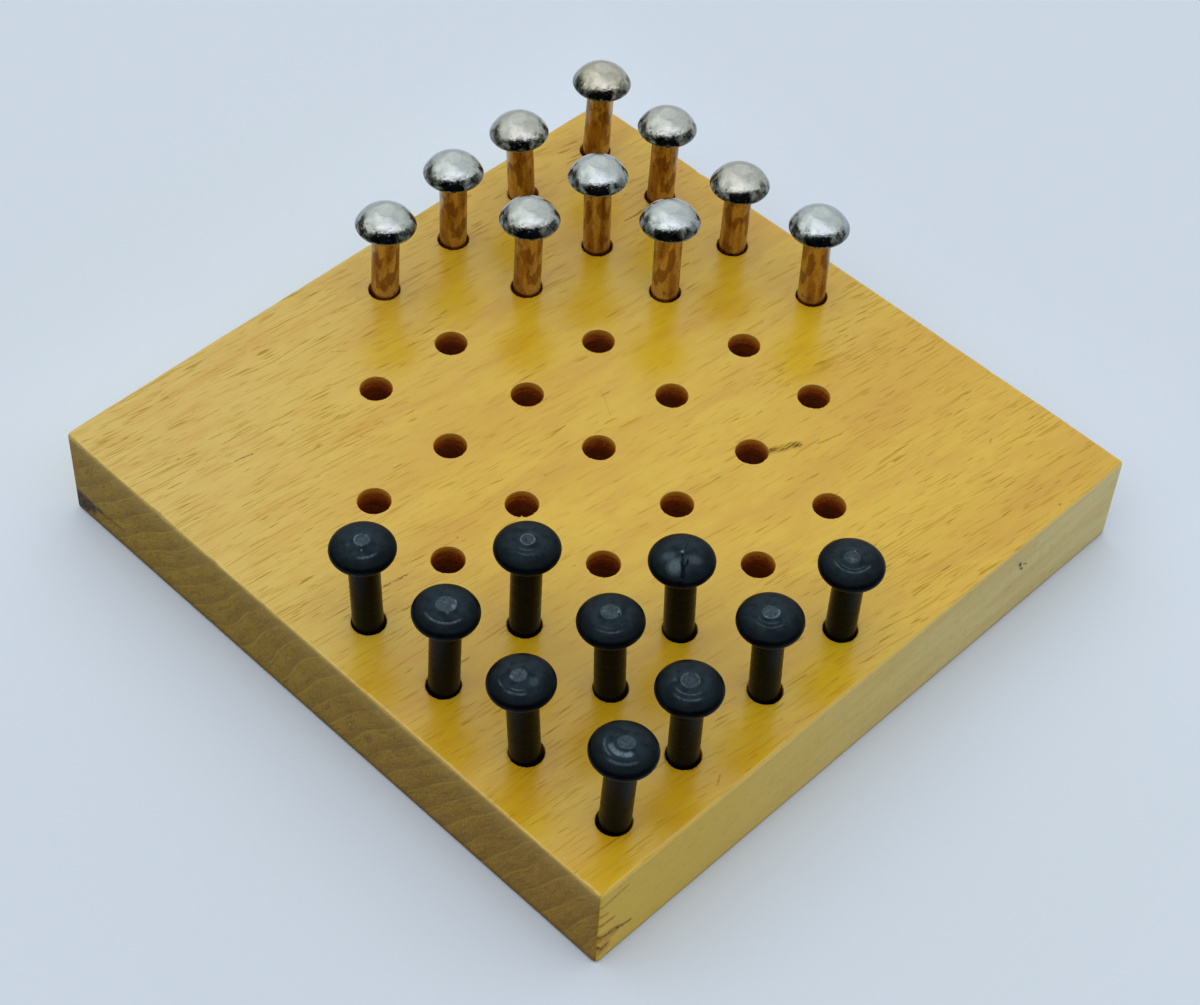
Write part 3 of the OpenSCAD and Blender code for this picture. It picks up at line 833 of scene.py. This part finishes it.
def board_mesh(holes, filled):
    N = 20                     # points along one side of a cell
    rng = random.Random(7)
    bm = bmesh.new()
    l_hole = bm.verts.layers.float.new("hole")
    l_worn = bm.verts.layers.float.new("worn")
    grid = {}

    def top_z(x, y):
        """The planed top is flat but for a slight hollowness, downwards only."""
        return TOP - 0.035 * (0.5 + 0.5 * n3(x * 0.045, y * 0.09, 0.0, 3)) - 0.010 * (0.5 + 0.5 * n3(x * 0.12, y * 0.9, 0.0, 4))

    def vert(x, y, z, hole=0.0, worn=0.0):
        b = bm.verts.new((x * MM, y * MM, z * MM))
        b[l_hole], b[l_worn] = hole, worn
        return b

    def gv(i, j):
        """Vertex i, j of the fine square grid over the 7 by 7 cells."""
        if (i, j) not in grid:
            x, y = -CELL + i * PITCH / N, -CELL + j * PITCH / N
            grid[i, j] = vert(x, y, top_z(x, y))
        return grid[i, j]

    at = {}
    for hx, hy, d in holes:
        at[round(hx / PITCH + 3), round(hy / PITCH + 3)] = (hx, hy, d)
    facing = math.atan2(FRONT.y, FRONT.x)      # the near rim of a hole

    for ci in range(7):
        for cj in range(7):
            i0, j0 = ci * N, cj * N
            if (ci, cj) not in at:
                for i in range(N):
                    for j in range(N):
                        bm.faces.new((gv(i0 + i, j0 + j), gv(i0 + i + 1, j0 + j), gv(i0 + i + 1, j0 + j + 1), gv(i0 + i, j0 + j + 1)))
                continue
            hx, hy, depth = at[ci, cj]
            ring = [(i0 + i, j0) for i in range(N)] + [(i0 + N, j0 + j) for j in range(N)]
            ring += [(i0 + N - i, j0 + N) for i in range(N)] + [(i0, j0 + N - j) for j in range(N)]
            outer = [gv(*q) for q in ring]
            # angles of the outer points about the hole, so that the rings don't twist
            ang = [math.atan2(b.co.y / MM - hy, b.co.x / MM - hx) for b in outer]
            for k in range(1, len(ang)):
                while ang[k] < ang[k - 1] - 1e-9:
                    ang[k] += 2 * math.pi
            n = len(outer)
            even = [ang[0] + 2 * math.pi * k / n for k in range(n)]
            shift = sum(a - e for a, e in zip(ang, even)) / n
            even = [e + shift for e in even]
            seed = ci * 7 + cj + 1
            lip = 0.09 + 0.06 * rng.random()
            # ragged mouth: chips torn out, outwards only
            rag = []
            for k in range(n):
                t = even[k]
                near = 0.5 + 0.5 * math.cos(t - facing)
                q = max(n3(math.cos(t) * 4.0, math.sin(t) * 4.0, 0.0, seed), 0.0)
                q2 = max(n3(math.cos(t) * 11.0, math.sin(t) * 11.0, 0.0, seed + 90) - 0.10, 0.0)
                rag.append(0.015 + (0.14 * q + 0.55 * q2) * (0.35 + 0.65 * near))
            # splinters that stand into an empty hole
            spike = [0.0] * n
            drop = [0.0] * n
            for _ in range(rng.randint(1, 3) if (ci, cj) not in filled else 1):
                t = facing + rng.uniform(-1.15, 1.15)
                k = min(range(n), key=lambda i: abs((even[i] - t + math.pi) % (2 * math.pi) - math.pi))
                size = rng.uniform(0.04, 0.11) if (ci, cj) not in filled else 0.05
                spike[k] = max(spike[k], size)
                for e, part in ((1, rng.uniform(0.3, 0.8)), (-1, rng.uniform(0.3, 0.8))):
                    spike[(k + e) % n] = max(spike[(k + e) % n], size * part)
                drop[k] = rng.uniform(-0.02, 0.10)
            if (ci, cj) == (2, 3):
                # a mouth with one longer splinter
                t = facing + 0.05
                k = min(range(n), key=lambda i: abs((even[i] - t + math.pi) % (2 * math.pi) - math.pi))
                spike[k], spike[(k + 1) % n] = 0.34, 0.08
            rows = [outer]
            K = 9
            for s in range(1, K + 1):
                f = s / K
                row = []
                for k in range(n):
                    b = outer[k]
                    ox, oy = b.co.x / MM, b.co.y / MM
                    blend = smooth(0.0, 0.85, f)
                    a_out = math.atan2(oy - hy, ox - hx)
                    d_out = math.hypot(ox - hx, oy - hy)
                    da = (even[k] - a_out + math.pi) % (2 * math.pi) - math.pi
                    t = a_out + da * blend
                    r_in = HOLE_R + lip + rag[k]
                    r = d_out + (r_in - d_out) * (1 - (1 - f) ** 1.35)
                    x, y = hx + r * math.cos(t), hy + r * math.sin(t)
                    row.append(vert(x, y, top_z(x, y), 0.0, 0.0))
                rows.append(row)
            # slightly rounded, torn lip
            for s in range(1, 6):
                f = s / 5
                row = []
                for k in range(n):
                    t = even[k]
                    r = HOLE_R + (lip + rag[k] * (1 - 0.75 * f)) * (1 - math.sin(f * math.pi / 2)) + rag[k] * 0.30 * (1 - f * 0.5)
                    z0 = top_z(hx + r * math.cos(t), hy + r * math.sin(t))
                    z = z0 - (lip * 0.9) * (1 - math.cos(f * math.pi / 2)) - 0.02 * f
                    pull = spike[k] * (1.0 if s == 3 else 0.55 if s == 2 else 0.5 if s == 4 else 0.0)
                    r -= pull
                    z += -drop[k] * (pull > 0) if s < 4 else -0.10 * (pull > 0)
                    row.append(vert(hx + r * math.cos(t), hy + r * math.sin(t), min(z, TOP), smooth(0.7, 1.0, f) * 0.12, 0.25 * (1 - f) + 1.1 * min(pull * 3, 0.9)))
                rows.append(row)
            # wall: "hole" grows from 0 at the mouth to 1 deep down
            zl = TOP - 0.32
            zf = TOP - depth
            for s in range(1, 11):
                f = (s / 10) ** 1.3
                row = []
                for k in range(n):
                    t = even[k]
                    w = rag[k] * 0.22 * (1 - f) ** 2 + 0.02 * abs(n3(math.cos(t) * 2.5, math.sin(t) * 2.5, f * 5, seed + 60))
                    r = HOLE_R + w
                    z = zl + (zf - zl) * f
                    row.append(vert(hx + r * math.cos(t), hy + r * math.sin(t), z, 0.12 + 0.88 * smooth(0.0, 3.4, TOP - z)))
                rows.append(row)
            # floor left by a flat bit: rings and a small dimple
            for r, dz in ((2.30, 0.0), (2.15, 0.0), (1.75, 0.03), (1.70, 0.06), (1.3, 0.05), (1.25, 0.01), (0.8, 0.0), (0.5, -0.02), (0.25, -0.22)):
                rows.append([vert(hx + r * math.cos(even[k]), hy + r * math.sin(even[k]), zf + dz, 1.0) for k in range(n)])
            mid = vert(hx, hy, zf - 0.40, 1.0)
            for i, (lo, hi) in enumerate(zip(rows[:-1], rows[1:])):
                for k in range(n):
                    k2 = (k + 1) % n
                    f = bm.faces.new((lo[k], lo[k2], hi[k2], hi[k]))
                    f.material_index = 2 if i >= K + 4 else 0
            for k in range(n):
                f = bm.faces.new((rows[-1][k], rows[-1][(k + 1) % n], mid))
                f.material_index = 2

    # ---- border, edges, sides and underside
    M = 7 * N
    base, out = [], []          # walk round the grid's outline, corner points repeated for the corner's fan
    C = 6
    sides = [
        ([(i, 0) for i in range(M + 1)], (0, -1)), ([(M, j) for j in range(M + 1)], (1, 0)),
        ([(M - i, M) for i in range(M + 1)], (0, 1)), ([(0, M - j) for j in range(M + 1)], (-1, 0)),
    ]
    for s, (pts, nrm) in enumerate(sides):
        nxt = sides[(s + 1) % 4][1]
        for q in pts:
            base.append(q)
            out.append(Vector((nrm[0], nrm[1])))
        for c in range(1, C):
            t = math.pi / 2 * c / C
            base.append(pts[-1])
            out.append(Vector((nrm[0] * math.cos(t) + nxt[0] * math.sin(t), nrm[1] * math.cos(t) + nxt[1] * math.sin(t))))
    n = len(base)
    reach = HALF - CELL          # 0.7 mm

    def pt(k):
        i, j = base[k]
        return -CELL + i * PITCH / N, -CELL + j * PITCH / N

    rows = [[gv(*base[k]) for k in range(n)]]
    round_t = []
    for k in range(n):
        x, y = pt(k)
        corner = smooth(6.0, 0.0, CELL - min(abs(x), abs(y)))
        rt = 0.42 + 0.13 * n3(x * 0.11, y * 0.11, 0.0, 5) + 0.06 * n3(x * 0.6, y * 0.6, 0.0, 6) + 0.12 * corner
        round_t.append(min(max(rt, 0.24), 0.62))
    # knocks on the top edges: place, depth, width
    chips = [(-52.5, -50.6, 0.35, 0.55), (-52.5, 20.5, 0.45, 0.75), (52.5, 30.0, 0.6, 0.8), (50.6, -52.5, 0.3, 0.5),
             (-52.5, 32.5, 0.30, 1.30), (-52.5, 10.5, 0.25, 0.5), (-30.0, -52.5, 0.2, 0.9), (52.5, -28.5, 0.25, 0.9), (-10.0, 52.5, 0.25, 0.6)]

    def chip(x, y):
        c = 0.0
        for cx, cy, dep, wide in chips:
            d = math.hypot(x - cx, y - cy)
            c = max(c, dep * smooth(wide, 0.0, d))
        return c

    kinds = []                   # material of the band of faces under each row
    E = 7
    for s in range(0, E + 1):
        f = s / E
        row = []
        for k in range(n):
            rt = round_t[k]
            x, y = pt(k)
            o = out[k]
            ch = chip(x + o.x * reach, y + o.y * reach)
            d = reach - rt + rt * math.sin(f * math.pi / 2)
            z = top_z(x, y) - rt * (1 - math.cos(f * math.pi / 2))
            d -= ch * 0.5 * math.sin(f * math.pi / 2)
            z -= ch * 0.6 * (1 - 0.5 * f) * (f + 0.15)
            row.append(vert(x + o.x * d, y + o.y * d, z, 0.0, (0.15 + 0.85 * smooth(0.0, 0.35, f)) * smooth(1.25, 0.75, f)))
        rows.append(row)
        kinds.append(0)
    L = 16
    rb = 0.35
    for s in range(1, L + 1):
        f = s / L
        row = []
        for k in range(n):
            x, y = pt(k)
            o = out[k]
            rt = round_t[k]
            z1 = TOP - rt - 0.02
            z = z1 + (rb - z1) * f
            px, py = x + o.x * reach, y + o.y * reach
            ch = chip(px, py) * smooth(0.12, 0.0, f)
            if abs(o.x) > 0.9:       # sawn across the fibres
                inn = 0.03 * (0.5 + 0.5 * n3(0.0, py * 1.4, z * 1.4, 9)) + 0.02 * (0.5 + 0.5 * n3(0.0, py * 0.2, z * 0.5, 10))
            else:
                inn = 0.018 * (0.5 + 0.5 * n3(px * 0.25, 0.0, z * 2.2, 11))
            inn *= smooth(0.0, 0.15, f)
            # a deep split at the near corner, where the side's dark stroke ends
            if o.y < -0.5 and px < -45:
                inn += 0.16 * smooth(0.45, 0.05, abs(z - 5.6 + (px + 52.2) * 0.30)) * smooth(-46.0, -48.5, px)
            d = reach - inn - ch * 0.5
            row.append(vert(x + o.x * d, y + o.y * d, z))
        rows.append(row)
        kinds.append(1)
    B = 4
    for s in range(1, B + 1):
        f = s / B
        row = []
        for k in range(n):
            x, y = pt(k)
            o = out[k]
            d = reach - rb + rb * math.cos(f * math.pi / 2)
            z = rb - rb * math.sin(f * math.pi / 2)
            row.append(vert(x + o.x * d, y + o.y * d, z))
        rows.append(row)
        kinds.append(1)
    for (lo, hi), kind in zip(zip(rows[:-1], rows[1:]), kinds):
        for k in range(n):
            k2 = (k + 1) % n
            if lo[k] is lo[k2]:
                f = bm.faces.new((lo[k], hi[k], hi[k2]))
            else:
                f = bm.faces.new((lo[k], hi[k], hi[k2], lo[k2]))
            if kind:
                f.material_index = 1 if abs(out[k].x) > 0.85 and abs(out[k2].x) > 0.85 else 3
    under = bm.faces.new(rows[-1])
    for f in bm.faces:
        f.smooth = True
    under.smooth = False
    bmesh.ops.recalc_face_normals(bm, faces=bm.faces[:])
    me = bpy.data.meshes.new("board_wood_block")
    bm.to_mesh(me)
    bm.free()
    ob = bpy.data.objects.new("board_wood_block", me)
    scene.collection.objects.link(ob)
    return ob


holes = find_holes()
if len(holes) != 37:
    raise RuntimeError("found %d holes on the board, not 37" % len(holes))
board = board_mesh(holes, peg_cells())
for mat in (top_material(), end_material(), bore_material(), side_material()):
    board.data.materials.append(mat)
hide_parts("board")
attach(board, "board")


# ---------------------------------------------------------------- floor, light
PALE = (0.605, 0.685, 0.765)          # the floor as it looks when lit
CENTRE = FRONT * -0.05                # the floor spreads round here, and fades out far from the board


def floor_material():
    m = Mat(bpy.data.materials.new("pale_floor"))
    p = m.add("ShaderNodeTexCoord").outputs["Object"]
    tone = m.noise(p, 3.0, 2.0)
    c = m.mix(m.remap(tone, 0.3, 0.7), rgb(0.652, 0.702, 0.785), rgb(0.662, 0.712, 0.795))
    x, y, _ = m.sep(p)
    # painted light: the floor is painted paler beside the board, lifting the board's shadow there
    beside = m.remap(m.math("MAXIMUM", m.math("ABSOLUTE", x), m.math("ABSOLUTE", y)), 0.095, 0.0525, 0.0, 0.55)
    c = m.mix(beside, c, rgb(0.735, 0.800, 0.915))
    far = m.vmath("DISTANCE", m.vmath("MULTIPLY", p, (1.0, 1.0, 0.0)), (CENTRE.x, CENTRE.y, 0.0))
    alpha = m.remap(far, 0.24, 0.42, 1.0, 0.0)
    m.surface({"Base Color": c, "Roughness": 0.85, "Specular IOR Level": 0.2, "Alpha": alpha})
    return m.owner


bm = bmesh.new()
ringv = []
mid = bm.verts.new((0, 0, 0))
for r in (0.15, 0.3, 0.5):
    ringv.append([bm.verts.new((r * math.cos(2 * math.pi * k / 64), r * math.sin(2 * math.pi * k / 64), 0)) for k in range(64)])
for k in range(64):
    bm.faces.new((mid, ringv[0][k], ringv[0][(k + 1) % 64]))
    for lo, hi in zip(ringv[:-1], ringv[1:]):
        bm.faces.new((lo[k], hi[k], hi[(k + 1) % 64], lo[(k + 1) % 64]))
me = bpy.data.meshes.new("studio_floor")
bm.to_mesh(me)
bm.free()
floor = bpy.data.objects.new("studio_floor", me)
scene.collection.objects.link(floor)
floor.location = (0, 0, -0.0002)
floor.data.materials.append(floor_material())

# A light tent: pale cloth all round with soft bright patches overhead and at the
# sides, and a dark opening at the front.
world = bpy.data.worlds.new("light_tent")
scene.world = world
w = Mat(world)
d = w.vmath("NORMALIZE", w.add("ShaderNodeTexCoord").outputs["Generated"])
df = w.vmath("DOT_PRODUCT", d, tuple(FRONT))
ds = w.vmath("DOT_PRODUCT", d, tuple(SIDE))
dz = w.sep(d)[2]
az = w.math("MULTIPLY", w.math("ARCTAN2", ds, df), 180 / math.pi)    # degrees, 0 towards the opening, + to the right
aaz = w.math("ABSOLUTE", az)
el = w.math("MULTIPLY", w.math("ARCSINE", dz), 180 / math.pi)


def towards(a, e):
    a, e = math.radians(a), math.radians(e)
    return tuple(FRONT * (math.cos(a) * math.cos(e)) + SIDE * (math.sin(a) * math.cos(e)) + Vector((0, 0, math.sin(e))))


cloth = rgb(0.93, 0.99, 0.97)
dim = w.remap(el, 42.0, 0.0, 1.0, 0.67)
cloth = w.mix(1.0, cloth, w.comb(dim, dim, dim), "MULTIPLY")
# azimuth, elevation, inner and outer radius in degrees, what it adds
for ba, be, r0, r1, add in (
        (-10, 70, 4, 42, (0.44, 0.42, 0.48)), (-36, 51, 2, 17, (0.36, 0.38, 0.35)), (22, 60, 2, 22, (0.26, 0.22, 0.34)),
        (70, 42, 3, 24, (0.34, 0.34, 0.38)), (-130, 60, 3, 24, (0.28, 0.30, 0.28)), (-97, 35, 2, 18, (0.22, 0.24, 0.22)),
        (50, 52, 2, 16, (0.18, 0.16, 0.24)), (-70, 48, 2, 16, (-0.10, -0.10, -0.10)), (118, 60, 5, 48, (-0.16, -0.15, -0.13))):
    near = w.remap(w.vmath("DOT_PRODUCT", d, towards(ba, be)), math.cos(math.radians(r1)), math.cos(math.radians(r0)))
    cloth = w.vmath("ADD", cloth, w.vmath("SCALE", w.comb(*add), scale=near))
# below the horizon it looks like the floor
cloth = w.mix(w.remap(dz, 0.0, -0.03), cloth, rgb(*PALE))
# a low grey band round to both sides
reach = w.math("MAXIMUM", w.math("MULTIPLY", w.remap(az, -140.0, -118.0), w.remap(az, 0.0, -1.0)),
               w.math("MULTIPLY", w.remap(az, 128.0, 96.0), w.remap(az, -1.0, 0.0)))
band = w.math("MULTIPLY", reach, w.remap(el, 24.0, 12.0))
low = w.mix(w.remap(az, -1.0, 1.0), rgb(0.13, 0.135, 0.10), rgb(0.22, 0.24, 0.225))
low = w.vmath("SCALE", low, scale=w.remap(w.noise(d, 7.5, 2.0, 0.5), 0.46, 0.57, 0.08, 1.7))
cloth = w.mix(band, cloth, low)
# the opening, and what stands in it
edge = w.math("SUBTRACT", df, w.math("MAXIMUM", dz, 0.0))
edge = w.math("ADD", edge, w.math("MULTIPLY", w.math("MAXIMUM", w.math("SUBTRACT", ds, w.math("MULTIPLY", dz, 0.2)), 0.0), 0.35))
opening = w.math("MULTIPLY", w.remap(edge, -0.06, 0.06), w.remap(aaz, 118.0, 100.0))
grey = w.mix(w.remap(az, -66.0, -60.0), rgb(0.11, 0.115, 0.085), rgb(0.20, 0.20, 0.15))
grey = w.mix(w.remap(az, -1.0, 1.0), grey, rgb(0.20, 0.215, 0.19))
# things stand there, so it is patchy
patch = w.noise(w.vmath("MULTIPLY", d, (1.0, 1.0, 0.7)), 6.5, 2.0, 0.5)
grey = w.mix(w.remap(patch, 0.49, 0.55), rgb(0.014, 0.014, 0.012), w.vmath("SCALE", grey, scale=1.8))
inside = w.mix(w.remap(aaz, 49.0, 44.0), grey, rgb(0.007, 0.008, 0.009))
light = w.mix(opening, cloth, inside)
light_bg = w.add("ShaderNodeBackground", None, {0: light, 1: 1.05})
seen_bg = w.add("ShaderNodeBackground", None, {0: rgb(*PALE), 1: 1.0})
path = w.add("ShaderNodeLightPath").outputs["Is Camera Ray"]
mixed = w.add("ShaderNodeMixShader", None, {0: path, 1: light_bg.outputs[0], 2: seen_bg.outputs[0]})
wout = w.add("ShaderNodeOutputWorld")
w.t.links.new(mixed.outputs[0], wout.inputs[0])
